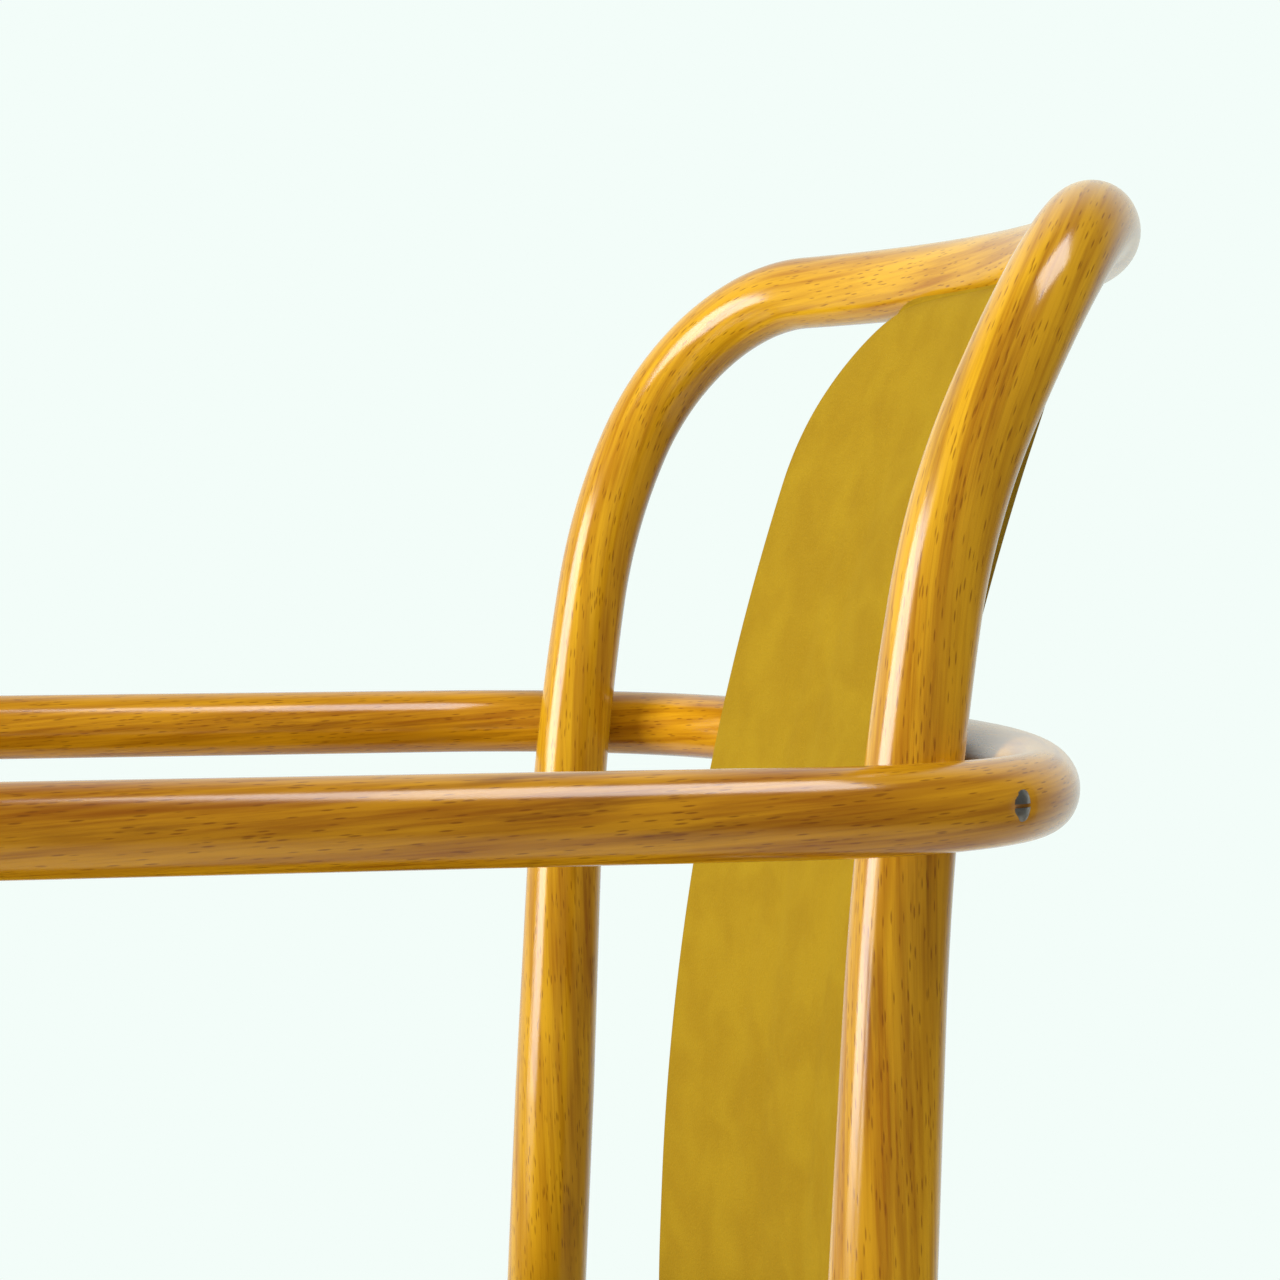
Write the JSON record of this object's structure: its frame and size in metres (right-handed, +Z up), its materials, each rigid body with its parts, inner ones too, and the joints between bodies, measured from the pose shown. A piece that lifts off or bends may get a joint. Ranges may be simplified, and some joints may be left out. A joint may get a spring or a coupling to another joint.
{
  "type": "bentwood armchair",
  "caption": "Bentwood armchair with a bowed upholstered back panel, an upholstered seat and one bent rod that forms both arms.",
  "frame": {"origin": "on the floor, under the middle of the chair's bounding box", "axes": "+Z up, the sitter faces -Y, the sitter's left is +X"},
  "size_m": [0.5674, 0.5579, 0.871],
  "materials": {
    "lacquered_beech": "glossy honey-coloured lacquer over steam-bent beech, with short dark flecks along the grain and worn spots",
    "beech": "bare turned beech",
    "plywood": "bare moulded beech plywood",
    "velour": "mustard velour with a short nap and faint shading",
    "foam": "open-cell upholstery foam",
    "wadding": "white polyester wadding",
    "steel": "dull zinc-plated steel with straight screwdriver slots",
    "glide": "dark brown nylon"
  },
  "bodies": {
    "root": {"back_hoop": "lacquered_beech", "arm_hoop": "lacquered_beech", "seat_ring": "lacquered_beech", "front_leg_left": "lacquered_beech", "front_leg_right": "lacquered_beech", "leg_ring": "lacquered_beech", "seat_board": "plywood", "seat_foam": "foam", "seat_cover": "velour", "back_board": "plywood", "back_foam": "foam", "back_wadding": "wadding", "back_cover": "velour", "arm_screws": "steel", "arm_post_screws": "steel", "rear_leg_bolts": "steel", "rear_leg_washers": "steel", "rear_leg_nuts": "steel", "leg_ring_screws": "steel", "seat_screws": "steel", "back_screws": "steel", "back_dowels": "beech", "foot_glides": "glide", "glide_nails": "steel"}
  },
  "joints": []
}
